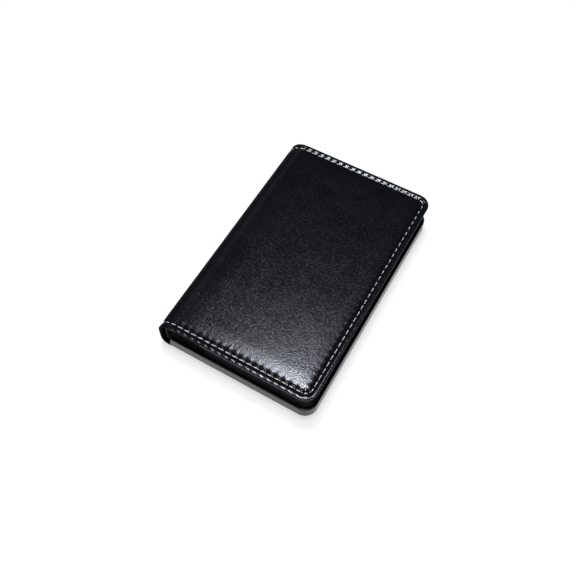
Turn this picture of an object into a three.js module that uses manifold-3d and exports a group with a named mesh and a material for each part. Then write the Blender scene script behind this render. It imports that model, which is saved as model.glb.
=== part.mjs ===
// A vertical card wallet that opens like a book, lying shut on its back cover.
//
// Two padded leather covers with turned, top-stitched edges are joined by a round, folding spine, which
// bends more tightly at the back. The back half has an upright rim on its other three sides and carries
// a gusseted card pocket, the front half a slip pocket and two stepped card slots. All pockets open
// towards the spine. Millimetres: X runs from the spine to the fore-edge, Y from tail to head, Z up. The
// origin is under the middle of the shut wallet, on the surface it lies on.

import * as THREE from "three";
import { mergeVertices } from "three/addons/utils/BufferGeometryUtils.js";
import Module from "manifold-3d";

const wasm = await Module();
wasm.setup();

// Overall sizes
const CLOSED_WIDTH = 68;
const CLOSED_LENGTH = 105;
const CORNER_RADIUS = 5.5;
const UPPER_BEND = 8;
const LOWER_BEND = 4;
const FOLD_GAP = 0.5;

// Layers of a cover, from the outer face inwards
const LEATHER = 0.9;
const PADDING = 0.6;
const BOARD = 0.6;
const TURN_IN = 0.4;
const TURN_IN_WIDTH = 6;
const LINING = 0.4;
const LINING_SETBACK = 0.1;
const CAVITY_CLEARANCE = 0.1;

// The swell of the padded front cover
const CROWN_HEIGHT = 0.45;
const CROWN_REACH = 16;

// The upright rim of the back cover, from the outer face
const RIM_HEIGHT = 7;

// The top-stitched seam round the edge
const SEAM_INSET = 2.5;
const SEAM_WIDTH = 1.4;
const SEAM_FLOOR = 0.7;
const SEAM_DEPTH = 0.55;
const THREAD_WIDTH = 0.44;
const THREAD_CLEARANCE = 0.04;

// Pockets on the front half: mouths are measured from the fold
const SLIP_PANEL = 0.5;
const SLIP_MOUTH = 5;
const SLOT_PANEL = 0.45;
const UPPER_SLOT_MOUTH = 15;
const UPPER_SLOT_BAND = 16;
const UPPER_SLOT_DEPTH = 40;
const UPPER_SLOT_TUCK = 4;
const LOWER_SLOT_MOUTH = 25;

// Gusseted pocket on the back half
const POCKET_PANEL = 0.7;
const POCKET_MOUTH = 14;
const POCKET_DEPTH = 9.2;
const GUSSET = 0.4;
const GUSSET_FLANGE = 2.8;
const GUSSET_FOLD = 2.6;
const NOTCH_RADIUS = 9;
const PANEL_GROOVE = 0.5;
const SHUT_GAP = 0.3;

// How finely round stretches are divided
const CORNER_STEPS = 8;
const BEAD_STEPS = 8;
const CROWN_STEPS = 4;
const RIM_STEPS = 6;
const SPINE_STEPS = 10;
const NOTCH_STEPS = 40;
const THREAD_SIDES = 6;

// How far a cutting solid runs past the face that it cuts
const OVERCUT = 1;
const SMALLEST_RADIUS = 0.4;

// Sizes that follow from those above
const COVER = LEATHER + PADDING + BOARD + TURN_IN;
const BEAD_RADIUS = COVER / 2;
const LINING_INSET = BEAD_RADIUS + LINING_SETBACK;
const FRONT_STACK = COVER + LINING + SLIP_PANEL + 2 * SLOT_PANEL;
const POCKET_FLOOR = COVER + LINING;
const POCKET_ROOF = POCKET_FLOOR + POCKET_DEPTH;
const CLOSED_THICKNESS = POCKET_ROOF + POCKET_PANEL + SHUT_GAP + FRONT_STACK;
const FRONT_FOLD = UPPER_BEND - CLOSED_WIDTH / 2;
const BACK_FOLD = LOWER_BEND - CLOSED_WIDTH / 2;
const FRONT_LEFT = FRONT_FOLD + FOLD_GAP;
const BACK_LEFT = BACK_FOLD + FOLD_GAP;
const HALF_LENGTH = CLOSED_LENGTH / 2;
const THREAD_DEPTH = SEAM_DEPTH - THREAD_CLEARANCE - THREAD_WIDTH / 2;

// Solids and meshes

function closedSolid(geometry) {
  const bare = geometry.clone();
  bare.deleteAttribute("normal");
  bare.deleteAttribute("uv");
  const merged = mergeVertices(bare);
  return new wasm.Manifold(
    new wasm.Mesh({
      numProp: 3,
      vertProperties: new Float32Array(merged.attributes.position.array),
      triVerts: new Uint32Array(merged.index.array),
    }),
  );
}

function geometryOf(solid) {
  const { vertProperties, triVerts } = solid.getMesh();
  const geometry = new THREE.BufferGeometry();
  geometry.setAttribute("position", new THREE.BufferAttribute(vertProperties, 3));
  geometry.setIndex(new THREE.BufferAttribute(triVerts, 1));
  return geometry;
}

function join(first, second) {
  return geometryOf(closedSolid(first).add(closedSolid(second)));
}

function subtract(geometry, ...cutters) {
  let result = closedSolid(geometry);
  for (const cutter of cutters) {
    result = result.subtract(closedSolid(cutter));
  }
  return geometryOf(result);
}

function signedArea(points) {
  return THREE.ShapeUtils.area(points);
}

// The two axes in which a flat ring of points spreads the most.
function planeOf(ring) {
  const box = new THREE.Box3().setFromPoints(ring);
  const size = box.getSize(new THREE.Vector3());
  const axes = ["x", "y", "z"].sort((a, b) => size[b] - size[a]);
  return axes.slice(0, 2);
}

// Triangles that fill a flat ring, wound the way the ring's points run.
function capTriangles(ring) {
  const [across, along] = planeOf(ring);
  const outline = ring.map((point) => new THREE.Vector2(point[across], point[along]));
  const direction = Math.sign(signedArea(outline));
  return THREE.ShapeUtils.triangulateShape(outline, []).map(([a, b, c]) => {
    const same = Math.sign(signedArea([outline[a], outline[b], outline[c]])) === direction;
    return same ? [a, b, c] : [a, c, b];
  });
}

// A closed solid through rings that all have the same number of points, capped at both ends.
function loft(rings) {
  const count = rings[0].length;
  const last = (rings.length - 1) * count;
  const triangles = [];
  for (let ring = 0; ring < rings.length - 1; ring++) {
    for (let side = 0; side < count; side++) {
      const a = ring * count + side;
      const b = ring * count + ((side + 1) % count);
      triangles.push([a, b, b + count], [a, b + count, a + count]);
    }
  }
  for (const [a, b, c] of capTriangles(rings[0])) {
    triangles.push([a, c, b]);
  }
  for (const [a, b, c] of capTriangles(rings.at(-1))) {
    triangles.push([last + a, last + b, last + c]);
  }
  const points = rings.flat();
  const volume = triangles.reduce((sum, [a, b, c]) => {
    return sum + points[a].dot(new THREE.Vector3().crossVectors(points[b], points[c]));
  }, 0);
  const facing = volume > 0 ? triangles : triangles.map(([a, b, c]) => [a, c, b]);
  const geometry = new THREE.BufferGeometry().setFromPoints(points);
  geometry.setIndex(facing.flat());
  return geometry;
}

// A sheet or block with the given outline in plan.
function slab(shape, bottom, thickness) {
  const options = { depth: thickness, bevelEnabled: false, curveSegments: NOTCH_STEPS };
  return new THREE.ExtrudeGeometry(shape, options).translate(0, 0, bottom);
}

// Outlines in plan

function arcPoints(x, y, radius, from, to, steps) {
  return new THREE.EllipseCurve(x, y, radius, radius, from, to, to < from).getPoints(steps);
}

// The cover's edge seen from above, moved inwards by an inset: tail, fore-edge and head, with both
// ends on the line x = left.
function edgeLine(left, inset) {
  const right = CLOSED_WIDTH / 2 - inset;
  const half = HALF_LENGTH - inset;
  const radius = Math.max(CORNER_RADIUS - inset, SMALLEST_RADIUS);
  const tailCorner = arcPoints(right - radius, radius - half, radius, -Math.PI / 2, 0, CORNER_STEPS);
  const headCorner = arcPoints(right - radius, half - radius, radius, 0, Math.PI / 2, CORNER_STEPS);
  return [new THREE.Vector2(left, -half), ...tailCorner, ...headCorner, new THREE.Vector2(left, half)];
}

function sheetShape(left, inset) {
  return new THREE.Shape(edgeLine(left, inset));
}

// A strip of constant section that follows the cover's edge. The section is a list of [inset, height].
function edgeStrip(left, section) {
  const lines = section.map(([inset]) => edgeLine(left, inset));
  const rings = lines[0].map((_, station) =>
    section.map(([, height], corner) => {
      const { x, y } = lines[corner][station];
      return new THREE.Vector3(x, y, height);
    }),
  );
  return loft(rings);
}

function threadSection(inset, height) {
  const section = [];
  for (let side = 0; side < THREAD_SIDES; side++) {
    const angle = (2 * Math.PI * side) / THREAD_SIDES;
    const reach = THREAD_WIDTH / 2;
    section.push([inset + reach * Math.cos(angle), height + reach * Math.sin(angle)]);
  }
  return section;
}

// Covers, built with the outer face down at height 0, from the line x = left

// The outer leather's section from the inner face, round the turned edge, to the middle of the outer
// face: a list of [inset, height, distance from the fold].
function coverSection(crown) {
  const section = [];
  for (let step = 0; step <= BEAD_STEPS; step++) {
    const angle = (Math.PI * step) / BEAD_STEPS;
    section.push([BEAD_RADIUS * (1 - Math.sin(angle)), BEAD_RADIUS * (1 + Math.cos(angle)), 0]);
  }
  const start = SEAM_INSET + SEAM_WIDTH / 2;
  section.push([start, 0, 0]);
  for (let step = 1; step <= CROWN_STEPS; step++) {
    const share = step / CROWN_STEPS;
    const swell = crown * Math.sin((share * Math.PI) / 2);
    const reach = (CROWN_REACH - start) * share * share;
    section.push([start + reach, -swell, reach]);
  }
  return section;
}

function seamTrough() {
  return [
    [SEAM_INSET - SEAM_WIDTH / 2, 0],
    [SEAM_INSET - SEAM_FLOOR / 2, SEAM_DEPTH],
    [SEAM_INSET + SEAM_FLOOR / 2, SEAM_DEPTH],
    [SEAM_INSET + SEAM_WIDTH / 2, 0],
  ];
}

function coverBody(left, crown) {
  const rings = coverSection(crown).map(([inset, height, fromFold]) =>
    edgeLine(left + fromFold, inset).map(({ x, y }) => new THREE.Vector3(x, y, height)),
  );
  return loft(rings);
}

// The upright rim: the hide runs on from the turned edge, over a round top and down again inside.
function rim() {
  const top = BEAD_RADIUS / 2;
  const over = arcPoints(top, RIM_HEIGHT - top, top, 0, Math.PI, RIM_STEPS).map(({ x, y }) => [x, y]);
  return edgeStrip(BACK_LEFT, [[BEAD_RADIUS, BEAD_RADIUS], ...over, [0, BEAD_RADIUS]]);
}

// Outer leather: a tray whose edge is rolled over the board and turned in on three sides.
function coverLeather(left, body) {
  const beyond = left - OVERCUT;
  const trough = edgeStrip(beyond, [
    ...seamTrough(),
    [SEAM_INSET + SEAM_WIDTH / 2, -OVERCUT],
    [SEAM_INSET - SEAM_WIDTH / 2, -OVERCUT],
  ]);
  const cavity = slab(sheetShape(beyond, LEATHER), LEATHER, PADDING + BOARD);
  const mouth = slab(sheetShape(beyond, LEATHER + TURN_IN_WIDTH), LEATHER, COVER - LEATHER + OVERCUT);
  return subtract(body, trough, cavity, mouth);
}

function coverPadding(left) {
  return slab(sheetShape(left, LEATHER + CAVITY_CLEARANCE), LEATHER, PADDING);
}

function coverBoard(left) {
  return slab(sheetShape(left, LEATHER + CAVITY_CLEARANCE), LEATHER + PADDING, BOARD);
}

function coverLining(left) {
  return slab(sheetShape(left, LINING_INSET), COVER, LINING);
}

function coverThread(left) {
  return edgeStrip(left, threadSection(SEAM_INSET, THREAD_DEPTH));
}

// Front half: flat pockets on the lining

function slipPocket() {
  return slab(sheetShape(FRONT_LEFT + SLIP_MOUTH, LINING_INSET), COVER + LINING, SLIP_PANEL);
}

// A T-shaped panel: its band is caught in the side seams, and its narrower stem runs down behind the
// lower slot, so that the seam stays thin.
function upperSlot() {
  const mouth = FRONT_LEFT + UPPER_SLOT_MOUTH;
  const band = mouth + UPPER_SLOT_BAND;
  const end = mouth + UPPER_SLOT_DEPTH;
  const wide = HALF_LENGTH - LINING_INSET;
  const narrow = wide - UPPER_SLOT_TUCK;
  const shape = new THREE.Shape();
  shape.moveTo(mouth, -wide);
  shape.lineTo(band, -wide);
  shape.lineTo(band, -narrow);
  shape.lineTo(end, -narrow);
  shape.lineTo(end, narrow);
  shape.lineTo(band, narrow);
  shape.lineTo(band, wide);
  shape.lineTo(mouth, wide);
  shape.closePath();
  return slab(shape, COVER + LINING + SLIP_PANEL, SLOT_PANEL);
}

function lowerSlot() {
  const height = COVER + LINING + SLIP_PANEL + SLOT_PANEL;
  return slab(sheetShape(FRONT_LEFT + LOWER_SLOT_MOUTH, LINING_INSET), height, SLOT_PANEL);
}

// Back half: gusseted pocket

// One strip folded to a V, with a flange sewn to the lining and a flange sewn under the pocket panel.
function gusset() {
  const foot = LINING_INSET;
  const bend = foot + GUSSET_FLANGE;
  const fold = bend + GUSSET_FOLD;
  const middle = POCKET_DEPTH / 2;
  const slope = GUSSET_FOLD / middle;
  const wall = GUSSET * Math.hypot(1, slope);
  const outerBend = bend - wall + GUSSET * slope;
  const section = [
    [foot, 0],
    [bend, 0],
    [fold, middle],
    [bend, POCKET_DEPTH],
    [foot, POCKET_DEPTH],
    [foot, POCKET_DEPTH - GUSSET],
    [outerBend, POCKET_DEPTH - GUSSET],
    [fold - wall, middle],
    [outerBend, GUSSET],
    [foot, GUSSET],
  ];
  const raised = section.map(([inset, height]) => [inset, POCKET_FLOOR + height]);
  return edgeStrip(BACK_LEFT + POCKET_MOUTH, raised);
}

// Pocket panel with a thumb notch in its mouth and a sunk line for its own seam.
function pocketPanel() {
  const mouth = BACK_LEFT + POCKET_MOUTH;
  const panel = slab(sheetShape(mouth, LINING_INSET), POCKET_ROOF, POCKET_PANEL);
  const disc = new THREE.Shape().absarc(mouth, 0, NOTCH_RADIUS, 0, 2 * Math.PI, false);
  const notch = slab(disc, POCKET_ROOF - OVERCUT, POCKET_PANEL + 2 * OVERCUT);
  const top = POCKET_ROOF + POCKET_PANEL;
  const groove = edgeStrip(mouth - OVERCUT, [
    [SEAM_INSET - SEAM_FLOOR / 2, top - PANEL_GROOVE],
    [SEAM_INSET + SEAM_FLOOR / 2, top - PANEL_GROOVE],
    [SEAM_INSET + SEAM_FLOOR / 2, top + OVERCUT],
    [SEAM_INSET - SEAM_FLOOR / 2, top + OVERCUT],
  ]);
  return subtract(panel, notch, groove);
}

function pocketThread() {
  const height = POCKET_ROOF + POCKET_PANEL - PANEL_GROOVE + THREAD_CLEARANCE + THREAD_WIDTH / 2;
  return edgeStrip(BACK_LEFT + POCKET_MOUTH, threadSection(SEAM_INSET, height));
}

// Spine: a channel that bends round from the back cover to the front cover

// The bend seen from the tail, at a depth under the outer face, as points [x, z].
function spineLine(depth) {
  const lower = LOWER_BEND - depth;
  const upper = UPPER_BEND - depth;
  const upperCentre = CLOSED_THICKNESS - UPPER_BEND;
  return [
    ...arcPoints(BACK_FOLD, LOWER_BEND, lower, 1.5 * Math.PI, Math.PI, SPINE_STEPS),
    ...arcPoints(FRONT_FOLD, upperCentre, upper, Math.PI, Math.PI / 2, SPINE_STEPS),
  ];
}

function spineRing(outerDepth, innerDepth, y) {
  const outline = [...spineLine(outerDepth), ...spineLine(innerDepth).reverse()];
  return outline.map((point) => new THREE.Vector3(point.x, y, point.y));
}

function spineBand(outerDepth, innerDepth, from, to) {
  return loft([spineRing(outerDepth, innerDepth, from), spineRing(outerDepth, innerDepth, to)]);
}

// Stations from the tail end to past the seam: [inset, outer depth, inner depth].
function spineEnd() {
  const stations = [];
  const quarter = BEAD_STEPS / 2;
  const blunt = SMALLEST_RADIUS / 2;
  stations.push([0, BEAD_RADIUS - blunt, BEAD_RADIUS + blunt]);
  for (let step = 1; step <= quarter; step++) {
    const angle = (Math.PI / 2) * (step / quarter);
    const rise = BEAD_RADIUS * Math.sin(angle);
    stations.push([BEAD_RADIUS * (1 - Math.cos(angle)), BEAD_RADIUS - rise, BEAD_RADIUS + rise]);
  }
  for (const [inset, depth] of seamTrough()) {
    stations.push([inset, depth, COVER]);
  }
  return stations;
}

// Spine leather: hemmed at head and tail, with the seam's trough running across both ends.
function spineLeather() {
  const end = spineEnd();
  const tail = end.map(([inset, outer, inner]) => spineRing(outer, inner, inset - HALF_LENGTH));
  const head = end.map(([inset, outer, inner]) => spineRing(outer, inner, HALF_LENGTH - inset));
  const hem = HALF_LENGTH - LEATHER - TURN_IN_WIDTH;
  const hollow = spineBand(LEATHER, COVER + SMALLEST_RADIUS, -hem, hem);
  return subtract(loft([...tail, ...head.reverse()]), hollow);
}

function spinePadding() {
  const reach = HALF_LENGTH - LEATHER - TURN_IN_WIDTH - CAVITY_CLEARANCE;
  return spineBand(LEATHER + CAVITY_CLEARANCE, COVER - CAVITY_CLEARANCE, -reach, reach);
}

function spineLining() {
  const reach = HALF_LENGTH - LINING_INSET;
  return spineBand(COVER, COVER + LINING, -reach, reach);
}

function spineThread(side) {
  const middle = side * (HALF_LENGTH - SEAM_INSET);
  const reach = THREAD_WIDTH / 2;
  return spineBand(THREAD_DEPTH - reach, THREAD_DEPTH + reach, middle - reach, middle + reach);
}

// Materials and the finished wallet

function finish(color, roughness) {
  return new THREE.MeshStandardMaterial({ color, roughness, metalness: 0 });
}

const leather = finish(0x15171a, 0.38);
const pocketLeather = finish(0x1a1b1e, 0.5);
const liningCloth = finish(0x202124, 0.85);
const thread = finish(0xe9e8e4, 0.7);
const padding = finish(0x4a4a4c, 0.95);
const board = finish(0x8b7d68, 0.9);

function addPieces(group, pieces) {
  for (const [name, geometry, material] of pieces) {
    const mesh = new THREE.Mesh(geometry, material);
    mesh.name = name;
    group.add(mesh);
  }
  return group;
}

const backHalf = addPieces(new THREE.Group(), [
  ["back_cover_leather", coverLeather(BACK_LEFT, join(coverBody(BACK_LEFT, 0), rim())), leather],
  ["back_cover_padding", coverPadding(BACK_LEFT), padding],
  ["back_cover_board", coverBoard(BACK_LEFT), board],
  ["back_lining", coverLining(BACK_LEFT), liningCloth],
  ["back_seam_thread", coverThread(BACK_LEFT), thread],
  ["card_pocket_gusset", gusset(), pocketLeather],
]);

const cardPocket = addPieces(new THREE.Group(), [
  ["card_pocket_panel", pocketPanel(), pocketLeather],
  ["card_pocket_seam_thread", pocketThread(), thread],
]);

const spine = addPieces(new THREE.Group(), [
  ["spine_leather", spineLeather(), leather],
  ["spine_padding", spinePadding(), padding],
  ["spine_lining", spineLining(), liningCloth],
  ["spine_seam_thread_tail", spineThread(-1), thread],
  ["spine_seam_thread_head", spineThread(1), thread],
]);

// The front half is built like the back one and turned over on top of it.
const frontHalf = addPieces(new THREE.Group(), [
  ["front_cover_leather", coverLeather(FRONT_LEFT, coverBody(FRONT_LEFT, CROWN_HEIGHT)), leather],
  ["front_cover_padding", coverPadding(FRONT_LEFT), padding],
  ["front_cover_board", coverBoard(FRONT_LEFT), board],
  ["front_lining", coverLining(FRONT_LEFT), liningCloth],
  ["front_slip_pocket", slipPocket(), pocketLeather],
  ["front_card_slot_upper", upperSlot(), pocketLeather],
  ["front_card_slot_lower", lowerSlot(), pocketLeather],
  ["front_seam_thread", coverThread(FRONT_LEFT), thread],
]);
frontHalf.rotation.x = Math.PI;
frontHalf.position.z = CLOSED_THICKNESS;

const wallet = new THREE.Group();
wallet.add(backHalf, cardPocket, spine, frontHalf);

export default wallet;
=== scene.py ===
# %% [markdown]
# # A vertical card wallet in black leather
#
# The wallet lies shut on a white table. One hide wraps the front cover, the spine and the back
# cover. Its edges are rolled over a thin board and sewn down in a trough with white thread.
#
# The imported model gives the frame: the main sizes below are read from it, so a piece built here
# lands where the solid model says it is. Shapes are worked out in millimetres and turned to
# metres at the end, because a leather worker thinks in millimetres.

import math

import bmesh
import bpy
from mathutils import Matrix, Vector, noise


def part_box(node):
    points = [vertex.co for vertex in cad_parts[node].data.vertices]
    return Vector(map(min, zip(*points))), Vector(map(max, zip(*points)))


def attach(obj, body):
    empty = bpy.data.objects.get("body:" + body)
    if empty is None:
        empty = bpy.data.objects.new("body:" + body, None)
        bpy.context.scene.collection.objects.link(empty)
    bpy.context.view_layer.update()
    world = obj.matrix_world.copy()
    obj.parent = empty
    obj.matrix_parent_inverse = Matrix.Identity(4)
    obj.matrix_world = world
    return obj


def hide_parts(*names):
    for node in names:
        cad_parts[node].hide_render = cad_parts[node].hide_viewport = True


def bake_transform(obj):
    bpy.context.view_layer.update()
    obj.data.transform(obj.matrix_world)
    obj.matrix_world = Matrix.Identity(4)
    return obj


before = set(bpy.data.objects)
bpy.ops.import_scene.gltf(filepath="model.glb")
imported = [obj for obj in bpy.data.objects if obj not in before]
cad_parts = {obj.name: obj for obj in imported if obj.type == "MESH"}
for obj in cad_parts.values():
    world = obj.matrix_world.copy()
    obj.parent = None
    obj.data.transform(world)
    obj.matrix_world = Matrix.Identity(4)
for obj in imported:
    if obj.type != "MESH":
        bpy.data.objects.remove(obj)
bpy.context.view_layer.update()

MM = 0.001
QUARTER_TURN = math.pi / 2

# %% [markdown]
# ## Sizes
#
# The sizes come from the boxes of the solid pieces. What a box can't tell, such as the corner
# radius and the seam's distance from the edge, is named here.

# %% Sizes


def box_mm(node):
    """Lowest and highest corner of a solid piece, in millimetres."""
    low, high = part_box(node)
    return [value / MM for value in low], [value / MM for value in high]


spine_low, spine_high = box_mm("spine_leather")
front_low, _ = box_mm("front_cover_leather")
back_low, back_high = box_mm("back_cover_leather")
front_lining_low, front_lining_high = box_mm("front_lining")
pocket_low, pocket_high = box_mm("card_pocket_panel")
gusset_low, gusset_high = box_mm("card_pocket_gusset")

SPINE_X = spine_low[0]
THICKNESS = spine_high[2]
EDGE_X = back_high[0]
HALF_LENGTH = back_high[1]
RIM = back_high[2]
COVER = THICKNESS - front_low[2]
LINING = front_lining_high[2] - front_lining_low[2]
LINING_INSET = EDGE_X - front_lining_high[0]
CORNER = 5.5
SEAM = 2.5
BEAD = COVER / 2
HIDE = 0.4
TURN_IN = 2.6
FOLD_GAP = 0.5

front_bend = front_low[0] - FOLD_GAP - SPINE_X
back_bend = back_low[0] - FOLD_GAP - SPINE_X
HALF_SPINE = (THICKNESS - front_bend - back_bend) / 2


class Half:
    """One cover with its half of the spine: how wide its bend is and where its flat hide starts."""

    def __init__(self, bend, is_back):
        self.bend = bend
        self.is_back = is_back
        self.fold_x = SPINE_X + bend
        self.flat_left = self.fold_x - bend * QUARTER_TURN - HALF_SPINE


front = Half(front_bend, is_back=False)
back = Half(back_bend, is_back=True)

print("shut size in mm:", EDGE_X - SPINE_X, 2 * HALF_LENGTH, THICKNESS)

# %% [markdown]
# ## Paint mixing
#
# Colours are written as the hex numbers a paint program shows. Blender wants linear light, so one
# function converts them. Other small functions add a shader node and wire its inputs, start a
# material, and mix two tones.

# %% Paint helpers


def colour(hex_code):
    """Linear RGBA from an sRGB hex code."""
    channels = [int(hex_code[i : i + 2], 16) / 255 for i in (1, 3, 5)]
    linear = [c / 12.92 if c <= 0.04045 else ((c + 0.055) / 1.055) ** 2.4 for c in channels]
    return (*linear, 1.0)


def add(tree, kind, inputs=None, **settings):
    """A new shader node. Inputs are values or other nodes' sockets, by name or number."""
    made = tree.nodes.new(kind)
    for name, value in settings.items():
        setattr(made, name, value)
    for name, value in (inputs or {}).items():
        if isinstance(value, bpy.types.NodeSocket):
            tree.links.new(value, made.inputs[name])
        else:
            made.inputs[name].default_value = value
    return made


def new_material(name):
    """An empty material: its node tree and its output node."""
    material = bpy.data.materials.new(name)
    material.use_nodes = True
    tree = material.node_tree
    tree.nodes.clear()
    return material, tree, add(tree, "ShaderNodeOutputMaterial")


def two_tone(tree, factor, dark, light, start=0.0, end=1.0):
    """A colour that goes from dark to light while the factor goes from start to end."""
    ramp = add(tree, "ShaderNodeValToRGB", {"Fac": factor})
    first, last = ramp.color_ramp.elements
    first.position = start
    first.color = colour(dark)
    last.position = end
    last.color = colour(light)
    return ramp.outputs["Color"]


print("a mid grey of #808080 is", round(colour("#808080")[0], 3), "in linear light")

# %% [markdown]
# ## Leather
#
# Smooth black box leather has a pebbled grain about half a millimetre across under a polished
# finish. The pebbles are a Voronoi pattern whose cell borders sink in, but only by a few
# hundredths of a millimetre, or the mirrored lamp would smear out. Two noises vary the polish: a
# slow one, because handled leather is never evenly bright, and a fine one for the pores, which
# speckle the sheen. Grain and pores are drawn a little coarser than life so that they show at the
# distance of the picture. Where the outer hide bends round the spine, the mesh marks those places
# with an attribute. There the polish is duller and the reflection is turned down, so the spine
# mirrors less of the white table: this is painted shade.

# %% Leather materials

DRIFT_PER_METRE = 140.0
DRIFT_LOW = 0.3
DRIFT_HIGH = 0.7
DRIFT_LIGHT = 0.75
POLISH_SPREAD = 0.015
WANDER_SHARE = 0.5
PEBBLE_SOFTNESS = 0.25
LEATHER_IOR = 1.4
PORE_MM = 0.7
PORE_SHINE = 0.42
# How much the spine's bend is dulled and how far its reflection is turned down: painted shade.
DULLED_ROUGHNESS = 0.6
FULL_GLOSS = 0.5
SHADED_GLOSS = 0.08


def leather(name, dark, light, polish, grain_mm, grain_depth_mm, has_dulled_shade=False):
    """Black leather: dark and light are its two tones and polish its mean roughness. If asked, it
    takes painted shade where its mesh marks the spine's bend: duller polish, less reflection."""
    material, tree, output = new_material(name)
    place = add(tree, "ShaderNodeTexCoord").outputs["Object"]
    cells_per_metre = 1 / (grain_mm * MM)
    drift = add(
        tree, "ShaderNodeTexNoise", {"Vector": place, "Scale": DRIFT_PER_METRE, "Detail": 3.0}
    ).outputs["Fac"]
    wander = add(
        tree, "ShaderNodeTexNoise", {"Vector": place, "Scale": WANDER_SHARE * cells_per_metre}
    )
    bent = add(
        tree,
        "ShaderNodeVectorMath",
        {0: wander.outputs["Color"], 1: (grain_mm * MM,) * 3, 2: place},
        operation="MULTIPLY_ADD",
    )
    pebbles = add(
        tree,
        "ShaderNodeTexVoronoi",
        {
            "Vector": bent.outputs["Vector"],
            "Scale": cells_per_metre,
            "Smoothness": PEBBLE_SOFTNESS,
        },
        feature="SMOOTH_F1",
    )
    grain = add(
        tree,
        "ShaderNodeBump",
        {"Height": pebbles.outputs["Distance"], "Strength": 1.0, "Distance": -grain_depth_mm * MM},
    )
    shine = add(
        tree,
        "ShaderNodeMapRange",
        {
            "Value": drift,
            "From Min": DRIFT_LOW,
            "From Max": DRIFT_HIGH,
            "To Min": polish - POLISH_SPREAD,
            "To Max": polish + POLISH_SPREAD,
        },
    ).outputs["Result"]
    pores = add(
        tree,
        "ShaderNodeTexNoise",
        {"Vector": place, "Scale": 1 / (PORE_MM * MM), "Detail": 2.0},
    )
    speckle = add(
        tree,
        "ShaderNodeMapRange",
        {"Value": pores.outputs["Fac"], "To Min": -PORE_SHINE / 2, "To Max": PORE_SHINE / 2},
    ).outputs["Result"]
    roughness = add(tree, "ShaderNodeMath", {0: shine, 1: speckle}).outputs[0]
    surface = add(
        tree,
        "ShaderNodeBsdfPrincipled",
        {
            "Base Color": two_tone(tree, drift, dark, light, DRIFT_LOW, DRIFT_LIGHT),
            "Roughness": roughness,
            "Normal": grain.outputs["Normal"],
            "IOR": LEATHER_IOR,
        },
    )
    # Painted shade: where the mesh marks the spine's bend, the polish is dulled and the reflection
    # turned down, so the spine mirrors less of the table.
    if has_dulled_shade:
        dulled_shade = add(tree, "ShaderNodeAttribute", attribute_name="dulled_shade").outputs["Fac"]
        dull_roughness = add(
            tree,
            "ShaderNodeMath",
            {0: dulled_shade, 1: DULLED_ROUGHNESS, 2: roughness},
            operation="MULTIPLY_ADD",
        )
        gloss = add(
            tree,
            "ShaderNodeMapRange",
            {"Value": dulled_shade, "To Min": FULL_GLOSS, "To Max": SHADED_GLOSS},
        )
        tree.links.new(dull_roughness.outputs[0], surface.inputs["Roughness"])
        tree.links.new(gloss.outputs["Result"], surface.inputs["Specular IOR Level"])
    tree.links.new(surface.outputs["BSDF"], output.inputs["Surface"])
    return material


# The outer hide takes the painted shade at the spine's bend: its reflection is turned down there.
outer_leather = leather(
    "black_box_leather",
    dark="#07080b",
    light="#0b0d11",
    polish=0.21,
    grain_mm=0.56,
    grain_depth_mm=0.028,
    has_dulled_shade=True,
)
pocket_leather = leather(
    "black_satin_leather",
    dark="#191a1d",
    light="#1d1e22",
    polish=0.42,
    grain_mm=0.6,
    grain_depth_mm=0.035,
)
gusset_leather = leather(
    "black_split_leather",
    dark="#2d2e33",
    light="#34353b",
    polish=0.65,
    grain_mm=0.5,
    grain_depth_mm=0.03,
)
for made in (outer_leather, pocket_leather, gusset_leather):
    print("leather:", made.name)

# %% [markdown]
# ## Thread, cloth, foam and board
#
# The thread is two plies of off-white polyester, so its light runs in slanted stripes along each
# stitch. The stripes follow the stitch's own UV map, which runs along and around it. The lining
# is a twill; its ribs are drawn 1.4 millimetres apart, coarser than life, so that they show.

# %% Thread and inner materials

PLY_SCALE = 1.6
PLY_DEPTH_MM = 0.06
FUZZ_SCALE = 30.0
TWILL_SCALE = 320.0
WEAVE_DEPTH_MM = 0.06


def thread_material():
    material, tree, output = new_material("offwhite_polyester_thread")
    place = add(tree, "ShaderNodeUVMap", uv_map="thread")
    plies = add(
        tree,
        "ShaderNodeTexWave",
        {"Vector": place.outputs["UV"], "Scale": PLY_SCALE, "Distortion": 0.6, "Detail": 1.0},
        bands_direction="DIAGONAL",
    )
    fuzz = add(tree, "ShaderNodeTexNoise", {"Vector": place.outputs["UV"], "Scale": FUZZ_SCALE})
    twist = add(
        tree,
        "ShaderNodeBump",
        {"Height": plies.outputs["Fac"], "Strength": 0.6, "Distance": PLY_DEPTH_MM * MM},
    )
    surface = add(
        tree,
        "ShaderNodeBsdfPrincipled",
        {
            "Base Color": two_tone(tree, fuzz.outputs["Fac"], "#d9dadb", "#f4f5f6"),
            "Roughness": 0.55,
            "Normal": twist.outputs["Normal"],
            "Sheen Weight": 0.2,
        },
    )
    tree.links.new(surface.outputs["BSDF"], output.inputs["Surface"])
    return material


def lining_material():
    material, tree, output = new_material("black_twill_lining")
    place = add(tree, "ShaderNodeTexCoord").outputs["Object"]
    twill = add(
        tree,
        "ShaderNodeTexWave",
        {
            "Vector": place,
            "Scale": TWILL_SCALE,
            "Distortion": 0.4,
            "Detail": 2.0,
            "Detail Scale": 3.0,
        },
        bands_direction="DIAGONAL",
    )
    weave = add(
        tree,
        "ShaderNodeBump",
        {"Height": twill.outputs["Fac"], "Strength": 0.8, "Distance": WEAVE_DEPTH_MM * MM},
    )
    surface = add(
        tree,
        "ShaderNodeBsdfPrincipled",
        {
            "Base Color": two_tone(tree, twill.outputs["Fac"], "#121215", "#1f1f23"),
            "Roughness": 0.75,
            "Normal": weave.outputs["Normal"],
            "Sheen Weight": 0.03,
        },
    )
    tree.links.new(surface.outputs["BSDF"], output.inputs["Surface"])
    return material


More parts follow.
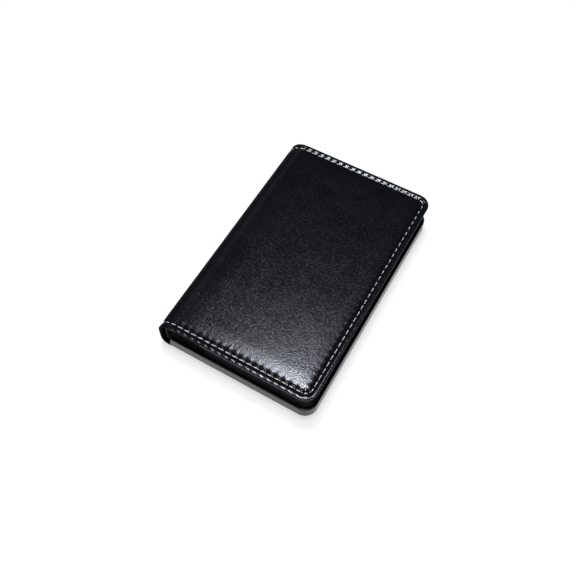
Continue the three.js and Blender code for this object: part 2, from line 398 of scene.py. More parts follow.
def pulp_material(name, dark, light, grain_mm, depth_mm):
    """Foam or pressed fibre: a matt, uneven surface with holes or fibres of one size."""
    material, tree, output = new_material(name)
    place = add(tree, "ShaderNodeTexCoord").outputs["Object"]
    lumps = add(
        tree,
        "ShaderNodeTexNoise",
        {"Vector": place, "Scale": 1 / (grain_mm * MM), "Detail": 4.0},
    )
    rough = add(
        tree,
        "ShaderNodeBump",
        {"Height": lumps.outputs["Fac"], "Strength": 0.8, "Distance": depth_mm * MM},
    )
    surface = add(
        tree,
        "ShaderNodeBsdfPrincipled",
        {
            "Base Color": two_tone(tree, lumps.outputs["Fac"], dark, light),
            "Roughness": 0.9,
            "Normal": rough.outputs["Normal"],
        },
    )
    tree.links.new(surface.outputs["BSDF"], output.inputs["Surface"])
    return material


seam_thread = thread_material()
lining_cloth = lining_material()
foam = pulp_material("charcoal_foam", "#3a3a3b", "#535354", grain_mm=0.6, depth_mm=0.1)
fibre_board = pulp_material("fibre_board", "#7d6a54", "#9a8770", grain_mm=1.2, depth_mm=0.04)

for node in ("front_cover_board", "back_cover_board"):
    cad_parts[node].data.materials.clear()
    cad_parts[node].data.materials.append(fibre_board)

print("materials:", len(bpy.data.materials))

# %% [markdown]
# ## From a flat hide to a wrapped one
#
# A leather worker cuts the hide flat, turns its edges in and then wraps it round the spine. The
# pieces here are made the same way. A point on the flat hide has an x, a y and a height above the
# outer face. `wrap` bends what lies past the fold round the spine, in a wide bend at the front
# and a tighter one at the back. The back half is wrapped like the front and then turned over.

# %% Wrapping

SMOOTH_BELOW_DEG = 50


def wrap(point, half):
    """Where a point of the flat hide lies on the shut wallet, with the cover on top."""
    x, y, height = point
    past_fold = half.fold_x - x
    if past_fold <= 0:
        return Vector((x, y, THICKNESS + height))
    turn = min(past_fold / half.bend, QUARTER_TURN)
    drop = max(past_fold - half.bend * QUARTER_TURN, 0)
    radius = half.bend + height
    return Vector(
        (
            half.fold_x - radius * math.sin(turn),
            y,
            THICKNESS - half.bend + radius * math.cos(turn) - drop,
        )
    )


def steps(start, end, spacing):
    """Even steps from start up to, but not including, end."""
    count = max(round((end - start) / spacing), 1)
    return [start + (end - start) * i / count for i in range(count)]


def face_outwards(bm):
    """Turns all faces outwards. The normals are brought up to date first, because vertices that
    code has moved leave the old ones behind."""
    bm.normal_update()
    bmesh.ops.recalc_face_normals(bm, faces=bm.faces)


def wrap_all(bm, half):
    """Wraps a flat mesh round the spine and, for the back half, turns it over."""
    for vertex in bm.verts:
        vertex.co = wrap(vertex.co, half)
        if half.is_back:
            vertex.co.z = THICKNESS - vertex.co.z
    face_outwards(bm)


def to_piece(bm, name, material, smooth_below=SMOOTH_BELOW_DEG):
    """Turns a mesh in millimetres into a finished object in metres."""
    bmesh.ops.scale(bm, vec=(MM, MM, MM), verts=bm.verts)
    mesh = bpy.data.meshes.new(name)
    bm.to_mesh(mesh)
    bm.free()
    mesh.shade_smooth()
    mesh.set_sharp_from_angle(angle=math.radians(smooth_below))
    mesh.materials.append(material)
    piece = bpy.data.objects.new(name, mesh)
    bpy.context.collection.objects.link(piece)
    print(name, "-", len(mesh.polygons), "faces")
    return piece


# %% [markdown]
# ## Placing the pieces at the folds
#
# When the wallet opens, each quarter of the round spine flattens out. The functions here bake a
# piece's place into its mesh.

# %% Bend places


def bend_along_x(piece):
    """Bakes a skin's place into its mesh."""
    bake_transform(piece)


def bend_with(piece, half):
    """Bakes a piece's place into its mesh."""
    if half.is_back:
        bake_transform(piece)
    else:
        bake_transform(piece)


print("bend radius in mm: front", round(front.bend, 2), "back", round(back.bend, 2))

# %% [markdown]
# ## The seam's path
#
# The seam runs from the spine along the tail, round the corner, up the fore-edge, round the next
# corner and back along the head to the spine. The stitches and the needle holes at their ends
# need one count along that path, so that each stitch lies between its own two holes.

# %% Seam path

STITCH_PITCH = 3.05
SEAM_CORNER = CORNER - SEAM
SEAM_X = EDGE_X - SEAM
SEAM_Y = HALF_LENGTH - SEAM
FORE_RUN = 2 * (HALF_LENGTH - CORNER)
CORNER_RUN = SEAM_CORNER * QUARTER_TURN


def end_run(left):
    """Length of the seam along the tail or the head, from left to the corner."""
    return EDGE_X - CORNER - left


def seam_length(left):
    return 2 * end_run(left) + 2 * CORNER_RUN + FORE_RUN


def seam_station(distance, left):
    """Place and direction (x, y, angle) on the seam that starts at left on the tail side."""
    run = end_run(left)
    past = distance - run
    if past <= 0:
        return left + distance, -SEAM_Y, 0.0
    if past <= CORNER_RUN:
        turn = past / SEAM_CORNER
        x = EDGE_X - CORNER + SEAM_CORNER * math.sin(turn)
        y = CORNER - HALF_LENGTH - SEAM_CORNER * math.cos(turn)
        return x, y, turn
    if past <= CORNER_RUN + FORE_RUN / 2:
        return SEAM_X, CORNER - HALF_LENGTH + past - CORNER_RUN, QUARTER_TURN
    x, y, turn = seam_station(seam_length(left) - distance, left)
    return x, -y, math.pi - turn


def pitch_of(left):
    """The stitch length that divides the seam from left evenly."""
    return seam_length(left) / round(seam_length(left) / STITCH_PITCH)


for half in (front, back):
    left = half.flat_left
    print("stitch pitch", round(pitch_of(left), 3), "seam", round(seam_length(left), 1))

# %% [markdown]
# ## The rolled edge
#
# At its edge the front hide curves down gently, goes over in a tight roll, is drawn in underneath
# and comes back as a turn-in. The back hide goes over a wider roll, climbs an upright rim, goes
# over its top and comes down again inside. Round the ends of the spine both are a thin hem. Each
# is a walk in seven legs, and each leg an arc or a straight. At the folds, the legs of a cover's
# walk change into those of the hem. Lean is the way the walk heads: 0 towards the edge, a quarter
# turn straight in, a half turn back again.

# %% Rolled edge

ROLL = 0.35
CREST_TURN = math.radians(12)
TUCK = math.radians(120)
UNDER = 0.5
CREST = (BEAD - ROLL * (1 - math.sin(CREST_TURN))) / math.sin(CREST_TURN)
CREST_DROP = CREST * (1 - math.cos(CREST_TURN)) + ROLL * (math.cos(CREST_TURN) - math.cos(TUCK))
UNDERCUT = (COVER - CREST_DROP - UNDER * (1 + math.cos(TUCK))) / math.sin(TUCK)
RIM_TOP = BEAD / 2
RIM_FOOT = 0.2
HEM = 0.6
HEM_REACH = 1.2
HEM_PAST_FOLD = 0.8
STRAIGHT = 0.001
FINE_LINE = 0.2
COARSE_LINE = 0.36
FINE_PAST_SEAM = 1.5

# Length and turn of each leg, and how many grid lines cross it
COVER_EDGE = (
    (CREST * CREST_TURN, CREST_TURN),
    (ROLL * (TUCK - CREST_TURN), TUCK - CREST_TURN),
    (UNDERCUT, 0),
    (UNDER * (math.pi - TUCK), math.pi - TUCK),
    (0, 0),
    (0, 0),
    (TURN_IN, 0),
)
RIM_EDGE = (
    (0, 0),
    (BEAD * QUARTER_TURN, QUARTER_TURN),
    (RIM - BEAD - RIM_TOP, 0),
    (RIM_TOP * math.pi, math.pi),
    (RIM - RIM_TOP - COVER - RIM_FOOT, 0),
    (RIM_FOOT * QUARTER_TURN, -QUARTER_TURN),
    (TURN_IN, 0),
)
HEM_EDGE = (
    (BEAD - HEM, 0),
    (HEM * QUARTER_TURN, QUARTER_TURN),
    (0, 0),
    (HEM * QUARTER_TURN, QUARTER_TURN),
    (0, 0),
    (0, 0),
    (TURN_IN, 0),
)
COVER_LINES = (6, 6, 2, 4, 0, 0, 2)
RIM_LINES = (1, 7, 4, 7, 2, 2, 2)
ROLL_LEGS = 3


def edge_roll(along, cover_edge, hem_share):
    """Inset, height, lean and true distance from the edge of a place on the hide. Up to the bead,
    along is the distance from the edge; past it, each leg of the walk counts as 1."""
    if along >= BEAD:
        return along, 0.0, 0.0, along
    inset, height, lean, walked = BEAD, 0.0, 0.0, 0.0
    left = BEAD - along
    for (cover_length, cover_turn), (hem_length, hem_turn) in zip(cover_edge, HEM_EDGE):
        share = min(left, 1)
        length = share * (cover_length + hem_share * (hem_length - cover_length))
        half_turn = share * (cover_turn + hem_share * (hem_turn - cover_turn)) / 2
        chord = length
        if abs(half_turn) > STRAIGHT:
            chord *= math.sin(half_turn) / half_turn
        inset -= chord * math.cos(lean + half_turn)
        height -= chord * math.sin(lean + half_turn)
        lean += 2 * half_turn
        walked += length
        left -= share
    return inset, height, lean, BEAD - walked


front.edge = COVER_EDGE
front.leg_lines = COVER_LINES
front.hem_past_fold = HEM_PAST_FOLD
back.edge = RIM_EDGE
back.leg_lines = RIM_LINES
back.hem_past_fold = 0.0


def edge_lines(leg_lines):
    """Grid lines across a rolled edge, from the turn-in's end to the corner's inner radius."""
    lines = []
    for leg in range(len(leg_lines), 0, -1):
        if leg_lines[leg - 1]:
            lines += steps(BEAD - leg, BEAD - leg + 1, 1 / leg_lines[leg - 1])
    fine_end = SEAM + FINE_PAST_SEAM
    return lines + steps(BEAD, fine_end, FINE_LINE) + steps(fine_end, CORNER, COARSE_LINE)


for half in (front, back):
    walk = sum(length for length, _ in half.edge)
    print("edge walk in mm:", round(walk, 2), "grid lines:", len(edge_lines(half.leg_lines)))

# %% [markdown]
# ## The outer leather
#
# The hide starts as a flat grid. Its lines are close together at the edges, where the leather
# rolls, and wider in the middle. Each vertex is then moved to where the leather would lie: along
# the rolled edge, down into the stitch trough and up over the padding. The trough is a shallow
# dip, about as wide on the bead's side as on the padded side. Needle holes pull the leather down
# at each end of a stitch, so it puckers once per stitch. Along the fore-edge the puckers stop
# short of the bead, which stays smooth there. Padding this thin needs no cloth simulation: its
# shape is the even swell below.

# %% Trough, puckers and padding

CROWN = 0.29
EDGE_REACH = 7.3
SPINE_REACH = 8.0
TROUGH = 0.44
TROUGH_OUT = 0.94
TROUGH_IN = 1.05
PAD_BORDER = SEAM + 0.6
PUCKER = 0.12
PUCKER_OUT = 1.75
PUCKER_OUT_FORE = 0.95
PUCKER_IN = 1.7
WAVES = ((15.0, 0.03), (5.0, 0.008))


def rise(distance, reach):
    """0 at a padded panel's border, 1 past the reach, with the slope fading out."""
    share = min(max(distance / reach, 0), 1)
    return 1 - (1 - share) ** 2


def bell(distance, width):
    return math.exp(-((distance / width) ** 2))


def plan_place(from_fore, from_end, inset):
    """Plan place on the tail half: x, distance from the middle, corner angle or None."""
    if max(from_fore, from_end) >= CORNER:
        x = EDGE_X - (inset if from_fore < from_end else from_fore)
        y = HALF_LENGTH - (from_end if from_fore < from_end else inset)
        return x, y, None
    past_fore = CORNER - from_fore
    past_end = CORNER - from_end
    if past_end >= past_fore:
        turn = QUARTER_TURN / 2 * past_fore / past_end
    else:
        turn = QUARTER_TURN - QUARTER_TURN / 2 * past_end / past_fore
    radius = CORNER - inset
    x = EDGE_X - CORNER + radius * math.sin(turn)
    y = HALF_LENGTH - CORNER + radius * math.cos(turn)
    return x, y, turn


def along_seam(from_fore, from_end, side, left):
    """Distance along the seam of the seam point nearest to a place on the hide."""
    x, y, turn = plan_place(from_fore, from_end, min(from_fore, from_end))
    if turn is not None:
        return end_run(left) + turn * SEAM_CORNER
    if from_fore < from_end:
        return end_run(left) + CORNER_RUN + side * y + FORE_RUN / 2
    return x - left


def seam_pull(from_edge, stitches, fore_share):
    """How far the seam pulls the leather in: the trough, deeper at each needle hole. The fore
    share is 1 along the fore-edge and 0 along the tail and the head."""
    beyond = from_edge - SEAM
    trough = TROUGH * bell(beyond, TROUGH_OUT if beyond < 0 else TROUGH_IN)
    holes = PUCKER * math.cos(2 * math.pi * stitches)
    reach_out = PUCKER_OUT + fore_share * (PUCKER_OUT_FORE - PUCKER_OUT)
    return trough + holes * bell(beyond, reach_out if beyond < 0 else PUCKER_IN)


def hide_place(from_fore, from_end, side, half, crown):
    """Where a point of the cut hide lies once its edge is rolled, sewn and padded."""
    nearest = min(from_fore, from_end)
    to_fold = EDGE_X - from_fore - half.fold_x
    hem_share = 1 - min(max((to_fold + half.hem_past_fold) / HEM_REACH, 0), 1)
    inset, height, lean, from_edge = edge_roll(nearest, half.edge, hem_share)
    x, y, _ = plan_place(from_fore, from_end, inset)
    swell = crown * rise(from_fore - PAD_BORDER, EDGE_REACH)
    swell *= rise(from_end - PAD_BORDER, EDGE_REACH)
    swell *= rise(x - half.fold_x, SPINE_REACH)
    for size, depth in WAVES:
        swell += depth * noise.noise((x / size, side * y / size, height / size + crown))
    stitches = along_seam(from_fore, from_end, side, half.flat_left) / pitch_of(half.flat_left)
    fore_share = min(max((from_end - from_fore) / CORNER, 0), 1)
    swell -= seam_pull(from_edge, stitches, fore_share)
    if nearest < BEAD - ROLL_LEGS:
        swell = 0.0
    x, y, _ = plan_place(from_fore, from_end, inset - swell * math.sin(lean))
    return Vector((x, side * y, height + swell * math.cos(lean)))


print("depth of the trough at a needle hole in mm:", round(TROUGH + PUCKER, 2))

# %% Grid of the hide

SPINE_SPACING = 0.6
FRONT_LINES_PER_STITCH = 6
BACK_LINES_PER_STITCH = 5
# Where on the spine's bend the painted shade starts and how far it takes to come in full.
DULLED_SHADE_FROM = 0.05
DULLED_SHADE_REACH = 0.4
GRID_HALF = 0.5
WELD = 0.005


def both_ends(half_rows):
    """Grid rows from tail to head: each row's distance from its end, and which end that is."""
    tail = [(value, -1) for value in half_rows]
    head = [(value, 1) for value in reversed(half_rows)]
    return tail + [(HALF_LENGTH, 1)] + head


def sheet_from_grid(columns, rows, place, thickness):
    """A grid whose lines are the given columns and rows, placed point by point and thickened."""
    bm = bmesh.new()
    across = len(columns) - 1
    up = len(rows) - 1
    bmesh.ops.create_grid(bm, x_segments=across, y_segments=up, size=GRID_HALF)
    for vertex in bm.verts:
        column = columns[round((vertex.co.x + GRID_HALF) * across)]
        row, side = rows[round((vertex.co.y + GRID_HALF) * up)]
        vertex.co = place(column, row, side)
    bmesh.ops.remove_doubles(bm, verts=bm.verts, dist=WELD)
    face_outwards(bm)
    middle = min(bm.faces, key=lambda face: face.calc_center_median().length)
    inwards = -thickness if middle.normal.z > 0 else thickness
    made = bmesh.ops.extrude_face_region(bm, geom=bm.faces, use_keep_orig=True)["geom"]
    bm.normal_update()
    for part in made:
        if isinstance(part, bmesh.types.BMVert):
            part.co += part.normal * inwards
    return bm


def hide_half(half, crown, spacing):
    """One cover's leather with its half of the spine, still flat, as a thin closed shell."""
    across_edge = edge_lines(half.leg_lines)
    fold = EDGE_X - half.fold_x
    end = EDGE_X - half.flat_left
    hem_end = fold + half.hem_past_fold
    hem_start = hem_end - HEM_REACH
    columns = across_edge + steps(CORNER, hem_start, spacing)
    columns += steps(hem_start, hem_end, FINE_LINE) + steps(hem_end, end, SPINE_SPACING) + [end]
    rows = both_ends(across_edge + steps(CORNER, HALF_LENGTH, spacing))

    def place(from_fore, from_end, side):
        return hide_place(from_fore, from_end, side, half, crown)

    bm = sheet_from_grid(columns, rows, place, HIDE)
    # Marks the spine's bend, where the leather is duller and its reflection turned down: painted
    # shade.
    dulled_shade = bm.verts.layers.float.new("dulled_shade")
    for vertex in bm.verts:
        turn = (half.fold_x - vertex.co.x) / half.bend
        vertex[dulled_shade] = min(max((turn - DULLED_SHADE_FROM) / DULLED_SHADE_REACH, 0), 1)
    return bm


# %% Front and back leather

front_hide = hide_half(front, CROWN, STITCH_PITCH / FRONT_LINES_PER_STITCH)
wrap_all(front_hide, front)
front_leather = to_piece(front_hide, "front_leather", outer_leather)
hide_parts("front_cover_leather", "spine_leather")
bend_with(front_leather, front)

back_hide = hide_half(back, 0.0, STITCH_PITCH / BACK_LINES_PER_STITCH)
wrap_all(back_hide, back)
back_leather = to_piece(back_hide, "back_leather", outer_leather)
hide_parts("back_cover_leather")
bend_along_x(back_leather)

# %% [markdown]
# ## The stitches
#
# A lockstitch shows as a short arch of thread that dives into a needle hole at each end. One
# stitch is a sphere drawn out to a capsule and bowed down at its ends. It is then laid along the
# seam as often as the seam is long. Along the fore-edge the thread is drawn in harder, so less of
# each stitch shows. The thread is laid on the flat hide and wrapped with it, so it bends round the
# spine as the leather does.

# %% Stitches

THREAD = 0.29
STITCH_SHOWN = 1.6
FORE_SHOWN_SHARE = 0.7
STITCH_SINK = 0.2
STITCH_SIDES = 8
STITCH_RINGS = 7


def one_stitch():
    """A single stitch along x, with a UV map that runs along and around it."""
    bm = bmesh.new()
    bm.loops.layers.uv.new("thread")
    bmesh.ops.create_uvsphere(
        bm, u_segments=STITCH_SIDES, v_segments=STITCH_RINGS, radius=THREAD / 2, calc_uvs=True
    )
    bmesh.ops.rotate(bm, verts=bm.verts, matrix=Matrix.Rotation(QUARTER_TURN, 3, "Y"))
    half = STITCH_SHOWN / 2
    for vertex in bm.verts:
        vertex.co.x += math.copysign(half - THREAD / 2, vertex.co.x)
        vertex.co.z -= STITCH_SINK * (vertex.co.x / half) ** 2
    mesh = bpy.data.meshes.new("stitch")
    bm.to_mesh(mesh)
    bm.free()
    return mesh


stitch = one_stitch()


def lay_stitches(left, height):
    """Stitches along the whole seam that starts at left."""
    bm = bmesh.new()
    bm.loops.layers.uv.new("thread")
    spacing = pitch_of(left)
    for index in range(round(seam_length(left) / spacing)):
        x, y, angle = seam_station((index + 0.5) * spacing, left)
        old = len(bm.verts)
        bm.from_mesh(stitch)
        bm.verts.ensure_lookup_table()
        shown = 1 + (FORE_SHOWN_SHARE - 1) * math.sin(angle)
        place = Matrix.Translation((x, y, height)) @ Matrix.Rotation(angle, 4, "Z")
        place @= Matrix.Diagonal((shown, 1, 1, 1))
        bmesh.ops.transform(bm, matrix=place, verts=bm.verts[old:])
    return bm


STITCH_HEIGHT = -TROUGH + PUCKER + THREAD / 2

front_seam = lay_stitches(front.flat_left, STITCH_HEIGHT)
wrap_all(front_seam, front)
front_stitches = to_piece(front_seam, "front_stitches", seam_thread)
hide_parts("front_seam_thread", "spine_seam_thread_head")
bend_with(front_stitches, front)

back_seam = lay_stitches(back.flat_left, STITCH_HEIGHT)
wrap_all(back_seam, back)
back_stitches = to_piece(back_seam, "back_stitches", seam_thread)
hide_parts("back_seam_thread", "spine_seam_thread_tail")
bend_along_x(back_stitches)

# %% [markdown]
# ## The lining
#
# A sheet of twill lines each cover and half of the spine. It is a second grid, set back a little
# from the edge so that a border of turned-in leather shows round it, and it is wrapped with the
# same function, deeper under the outer face.

# %% Lining

LINING_STEP = 4.0
LINING_CORNER_STEP = 0.6
LINING_BEND_STEP = 0.4


def lining_half(half):
    """The lining of one cover and its half of the spine, still flat."""
    fold = EDGE_X - half.fold_x
    end = EDGE_X - half.flat_left
    border = steps(LINING_INSET, CORNER, LINING_CORNER_STEP)
    columns = border + steps(CORNER, fold, LINING_STEP)
    columns += steps(fold, end, LINING_BEND_STEP) + [end]
    rows = both_ends(border + steps(CORNER, HALF_LENGTH, LINING_STEP))

    def place(from_fore, from_end, side):
        x, y, _ = plan_place(from_fore, from_end, min(from_fore, from_end))
        return Vector((x, side * y, -COVER))

    return sheet_from_grid(columns, rows, place, LINING)


def line_cover(half, name):
    """Makes a lining and wraps it."""
    cloth = lining_half(half)
    wrap_all(cloth, half)
    piece = to_piece(cloth, name, lining_cloth)
    bend_with(piece, half)
    return piece


front_lining = line_cover(front, "front_lining_cloth")
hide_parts("front_lining", "spine_lining")
back_lining = line_cover(back, "back_lining_cloth")
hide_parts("back_lining")

# %% [markdown]
# ## The padding
#
# A thin sheet of foam lies under the leather of each cover, and a narrow strip between the two
# bends of the spine. None of it shows, but it gives the cover its soft swell, so it is there. A
# sheet of foam is a block with its edges pared off.

# %% Padding

FOAM_CORNER = 4.0
PARED = 0.25
STRIP_HALF = 2.0
STRIP_DEEP = 0.6


def foam_block(low, high, corner):
    """A block of foam with upright edges rounded to a corner radius and its faces pared."""
    bm = bmesh.new()
    bmesh.ops.create_cube(bm, size=1)
    size = [high[i] - low[i] for i in range(3)]
    middle = [(high[i] + low[i]) / 2 for i in range(3)]
    bmesh.ops.scale(bm, vec=size, verts=bm.verts)
    bmesh.ops.translate(bm, vec=middle, verts=bm.verts)
    upright = [e for e in bm.edges if abs(e.verts[0].co.z - e.verts[1].co.z) > size[2] / 2]
    bmesh.ops.bevel(
        bm, geom=upright, offset=corner, affect="EDGES", segments=6, profile=0.5, material=-1
    )
    level = [e for e in bm.edges if abs(e.verts[0].co.z - e.verts[1].co.z) < size[2] / 2]
    bmesh.ops.bevel(
        bm, geom=level, offset=PARED, affect="EDGES", segments=2, profile=0.5, material=-1
    )
    return bm


for cover in ("front", "back"):
    node = f"{cover}_cover_padding"
    pad = to_piece(foam_block(*box_mm(node), FOAM_CORNER), f"{cover}_foam", foam)
    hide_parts(node)
    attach(pad, f"{cover}_half")

strip_low, strip_high = box_mm("spine_padding")
strip_low[2] = back.bend + HALF_SPINE - STRIP_HALF
strip_high[2] = back.bend + HALF_SPINE + STRIP_HALF
strip_high[0] = strip_low[0] + STRIP_DEEP
spine_foam = to_piece(foam_block(strip_low, strip_high, PARED), "spine_foam", foam)
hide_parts("spine_padding")
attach(spine_foam, "spine")

# %% [markdown]
# ## Card slots and pocket panel
#
# Each panel is a sheet of thinner leather. Its outline is drawn, given thickness, and its shown
# face is inset three times: the second inset sinks and the third comes back up, which presses a
# creased line round the edge. A small bevel rounds the cut edges, as burnishing does.

# %% Panels

PANEL_CORNER = CORNER - LINING_INSET
CREASE_INSET = SEAM - LINING_INSET
CREASE = 0.36
CREASE_DEPTH = 0.16
BURNISH = 0.14
SHARP_FOLD = 1.2
LEVEL = 0.01
PANEL_SMOOTH_BELOW_DEG = 30
NOTCH_RADIUS = 9.0
ARC_STEPS = 12
UPPER_BAND = 16.0
UPPER_TUCK = 4.0


def arc(x, y, radius, start, end):
    """Points of an arc, both ends included."""
    angles = [start + (end - start) * i / ARC_STEPS for i in range(ARC_STEPS + 1)]
    return [(x + radius * math.cos(angle), y + radius * math.sin(angle)) for angle in angles]


def pocket_outline(low, high):
    """A panel's outline with round corners at the fore-edge; its mouth faces the spine."""
    x = high[0] - PANEL_CORNER
    y = high[1] - PANEL_CORNER
    tail = arc(x, -y, PANEL_CORNER, -QUARTER_TURN, 0)
    head = arc(x, y, PANEL_CORNER, 0, QUARTER_TURN)
    return [(low[0], low[1]), *tail, *head, (low[0], high[1])]


def panel(outline, low, high, shown_up):
    """A leather panel from an outline, with a creased line on its shown face."""
    bm = bmesh.new()
    hidden, shown = (low, high) if shown_up else (high, low)
    base = bm.faces.new([bm.verts.new((x, y, hidden)) for x, y in outline])
    made = bmesh.ops.extrude_face_region(bm, geom=[base])["geom"]
    moved = [part for part in made if isinstance(part, bmesh.types.BMVert)]
    bmesh.ops.translate(bm, verts=moved, vec=(0, 0, shown - hidden))
    face = next(part for part in made if isinstance(part, bmesh.types.BMFace))
    bmesh.ops.recalc_face_normals(bm, faces=bm.faces)
    half = CREASE / 2
    for width, sink in ((CREASE_INSET - half, 0), (half, -CREASE_DEPTH), (half, CREASE_DEPTH)):
        bmesh.ops.inset_region(bm, faces=[face], thickness=width, depth=sink, use_even_offset=True)
    rim = [e for e in bm.edges if len(e.link_faces) == 2 and e.calc_face_angle() > SHARP_FOLD]
    rim = [e for e in rim if abs(e.verts[0].co.z - e.verts[1].co.z) < LEVEL]
    bmesh.ops.bevel(
        bm, geom=rim, offset=BURNISH, affect="EDGES", segments=2, profile=0.5, material=-1
    )
    return bm


def front_panel(node, name, outline):
    low, high = box_mm(node)
    sheet = panel(outline(low, high), low[2], high[2], shown_up=False)
    piece = to_piece(sheet, name, pocket_leather, PANEL_SMOOTH_BELOW_DEG)
    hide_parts(node)
    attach(piece, "front_half")
    return low


def upper_outline(low, high):
    """The upper slot's panel: a wide band at its mouth and a narrower tail that tucks in."""
    band = low[0] + UPPER_BAND
    tuck = high[1] - UPPER_TUCK
    near = [(low[0], -high[1]), (band, -high[1]), (band, -tuck), (high[0], -tuck)]
    return near + [(x, -y) for x, y in reversed(near)]


slip_low = front_panel("front_slip_pocket", "slip_pocket", pocket_outline)
upper_low = front_panel("front_card_slot_upper", "card_slot_upper", upper_outline)
lower_low = front_panel("front_card_slot_lower", "card_slot_lower", pocket_outline)

notch = arc(pocket_low[0], 0, NOTCH_RADIUS, QUARTER_TURN, -QUARTER_TURN)
pocket_bm = panel(
    pocket_outline(pocket_low, pocket_high) + notch, pocket_low[2], pocket_high[2], shown_up=True
)
pocket_panel = to_piece(
    pocket_bm, "pocket_panel", pocket_leather, PANEL_SMOOTH_BELOW_DEG
)
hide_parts("card_pocket_panel")
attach(pocket_panel, "card_pocket")

# %% [markdown]
# ## Stitches inside
#
# The same thread comes out on the inside, through whichever panel lies on top there. The pocket's
# own seam holds its panel to the gusset.

# %% Inner stitches

INSIDE_START = 4.0
POCKET_STITCH_RISE = THREAD / 3


def inner_face(x):
    """Height of the lowest layer of the front half's inside at x."""
    layers = [front_lining_low, slip_low, upper_low, lower_low]
    return min(layer[2] for layer in layers if layer[0] <= x or layer is front_lining_low)


inside_seam = lay_stitches(front.fold_x + INSIDE_START, 0)
for vertex in inside_seam.verts:
    vertex.co.z = inner_face(vertex.co.x) - vertex.co.z
face_outwards(inside_seam)
inside_stitches = to_piece(inside_seam, "inside_stitches", seam_thread)
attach(inside_stitches, "front_half")

pocket_seam = lay_stitches(pocket_low[0], pocket_high[2] - CREASE_DEPTH + POCKET_STITCH_RISE)
pocket_stitches = to_piece(pocket_seam, "pocket_stitches", seam_thread)
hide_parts("card_pocket_seam_thread")
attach(pocket_stitches, "card_pocket")

# %% [markdown]
# ## The gusset
#
# The pocket's sides are one strip of leather folded to a V, so that they close like bellows. The
# strip's section is a row of points; a grid carries it round the three sides, each row of the
# grid at its own distance from the edge.

# %% Gusset

GUSSET = 0.36
FLANGE = 2.8
FLANGE_BEND = 0.5
FLANGE_RISE = 0.12
FOLD_IN = 2.6
FOLD_SHARES = (0.4, 0.8, 0.94)
TIGHTEST_CORNER = 0.4


def gusset_section():
    """Inset and height of the strip from its foot on the lining to its edge under the panel."""
    floor = gusset_low[2] + GUSSET / 2
    roof = gusset_high[2] - GUSSET / 2
    middle = (floor + roof) / 2
    bend = LINING_INSET + FLANGE
    half = [(LINING_INSET, floor), (bend - FLANGE_BEND, floor), (bend, floor + FLANGE_RISE)]
    rise_to_fold = middle - floor
    half += [(bend + FOLD_IN * share, floor + rise_to_fold * share) for share in FOLD_SHARES]
    return half + [(bend + FOLD_IN, middle)] + [(x, floor + roof - z) for x, z in reversed(half)]


def edge_path(left, inset):
    """Stations along the cover's edge at an inset, the same number for every inset."""
    right = EDGE_X - inset
    top = HALF_LENGTH - inset
    radius = max(CORNER - inset, TIGHTEST_CORNER)
    tail = arc(right - radius, radius - top, radius, -QUARTER_TURN, 0)
    head = [(x, -y) for x, y in reversed(tail)]
    return [(left, -top), *tail, *head, (left, top)]


section = gusset_section()
paths = [edge_path(gusset_low[0], inset) for inset, _ in section]
stations = len(paths[0]) - 1
levels = len(section) - 1
strip = bmesh.new()
bmesh.ops.create_grid(strip, x_segments=stations, y_segments=levels, size=GRID_HALF)
for vertex in strip.verts:
    level = round((vertex.co.y + GRID_HALF) * levels)
    x, y = paths[level][round((vertex.co.x + GRID_HALF) * stations)]
    vertex.co = (x, y, section[level][1])
face_outwards(strip)
bmesh.ops.solidify(strip, geom=strip.faces, thickness=GUSSET / 2)
face_outwards(strip)
gusset = to_piece(strip, "gusset", gusset_leather)
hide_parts("card_pocket_gusset")
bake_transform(gusset)

# %% [markdown]
# ## Table, light and camera
#
# The picture is a plain product shot on a white table. Black leather shows only what it mirrors,
# so each softbox is there for one reflection. The rear one hangs a little behind the wallet, where
# the near corner of the cover mirrors it: that is the sheen. The one straight above draws the
# bright line along the bead and keeps the shadow short. The front one hangs beside the camera, so
# that it lights whatever the camera sees in the gap between the covers. The room is dark, or the
# black would turn grey. A glow of the table's own, seen only by the camera and by reflections,
# takes it to white and leaves the shadow in place.

# %% Table

TABLE_HALF = 6000
TABLE_GLOW = 0.61


def table_material():
    material, tree, output = new_material("white_table")
    paint = add(tree, "ShaderNodeBsdfDiffuse", {"Color": colour("#aaaaaa"), "Roughness": 0.3})
    path = add(tree, "ShaderNodeLightPath")
    seen = path.outputs["Is Camera Ray"]
    for ray in ("Is Glossy Ray", "Is Transmission Ray"):
        either = add(tree, "ShaderNodeMath", {0: seen, 1: path.outputs[ray]}, operation="MAXIMUM")
        seen = either.outputs[0]
    strength = add(tree, "ShaderNodeMath", {0: seen, 1: TABLE_GLOW}, operation="MULTIPLY")
    glow = add(tree, "ShaderNodeEmission", {"Strength": strength.outputs[0]})
    both = add(tree, "ShaderNodeAddShader", {0: paint.outputs[0], 1: glow.outputs[0]})
    tree.links.new(both.outputs[0], output.inputs["Surface"])
    return material


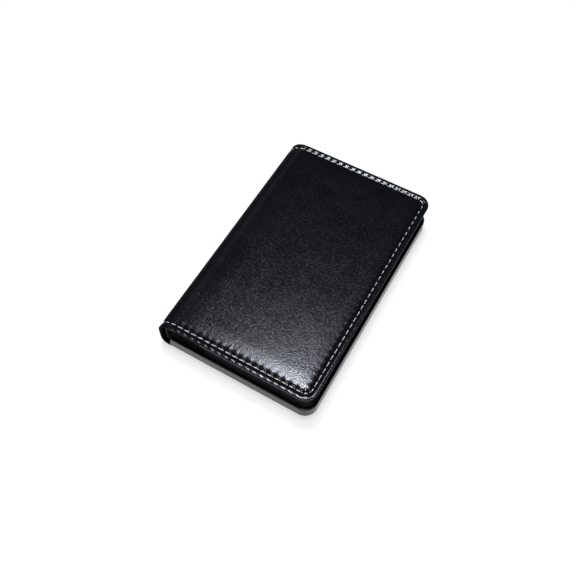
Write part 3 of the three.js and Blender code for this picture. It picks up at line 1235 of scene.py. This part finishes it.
table_bm = bmesh.new()
bmesh.ops.create_grid(table_bm, x_segments=1, y_segments=1, size=TABLE_HALF * MM)
table_mesh = bpy.data.meshes.new("table")
table_bm.to_mesh(table_mesh)
table_bm.free()
table_mesh.materials.append(table_material())
table = bpy.data.objects.new("table", table_mesh)
bpy.context.collection.objects.link(table)
print("table:", 2 * TABLE_HALF * MM, "m square")

# %% Light

ROOM_LIGHT = 0.06
LAMP_DISTANCE = 800


def softbox(name, towards, across, watts, tint="#ffffff"):
    """A round soft lamp that shines at the wallet; sizes in millimetres."""
    data = bpy.data.lights.new(name, "AREA")
    data.shape = "DISK"
    data.size = across * MM
    data.energy = watts
    data.color = colour(tint)[:3]
    lamp = bpy.data.objects.new(name, data)
    direction = Vector(towards).normalized()
    lamp.location = direction * LAMP_DISTANCE * MM
    lamp.rotation_euler = (-direction).to_track_quat("-Z", "Y").to_euler()
    bpy.context.collection.objects.link(lamp)
    print(name, "-", watts, "W")


softbox("rear_softbox", towards=(-0.126, 0.171, 1.0), across=143, watts=3.0, tint="#ebf2ff")
softbox("overhead_softbox", towards=(0.0, 0.0, 1.0), across=110, watts=3.2)
softbox("front_softbox", towards=(0.2, -0.5, 0.84), across=400, watts=1.25)

world = bpy.data.worlds.new("studio")
world.use_nodes = True
background = world.node_tree.nodes["Background"]
background.inputs["Color"].default_value = colour("#f0f5ff")
background.inputs["Strength"].default_value = ROOM_LIGHT
bpy.context.scene.world = world

# %% Camera

CAMERA_AT = Vector((74.505, -139.966, 265.38)) * MM
CAMERA_AIM = Vector((-1.0, -8.5, 5.0)) * MM
CAMERA_LENS = 45.975
CAMERA_SENSOR = 36
CAMERA_CLIP = 0.01

camera_data = bpy.data.cameras.new("camera")
camera_data.lens = CAMERA_LENS
camera_data.sensor_width = CAMERA_SENSOR
camera_data.clip_start = CAMERA_CLIP
camera = bpy.data.objects.new("camera", camera_data)
camera.location = CAMERA_AT
camera.rotation_euler = (CAMERA_AIM - CAMERA_AT).to_track_quat("-Z", "Y").to_euler()
bpy.context.collection.objects.link(camera)
bpy.context.scene.camera = camera
bpy.context.scene.view_settings.view_transform = "Standard"
print("camera distance in mm:", round((CAMERA_AIM - CAMERA_AT).length / MM))
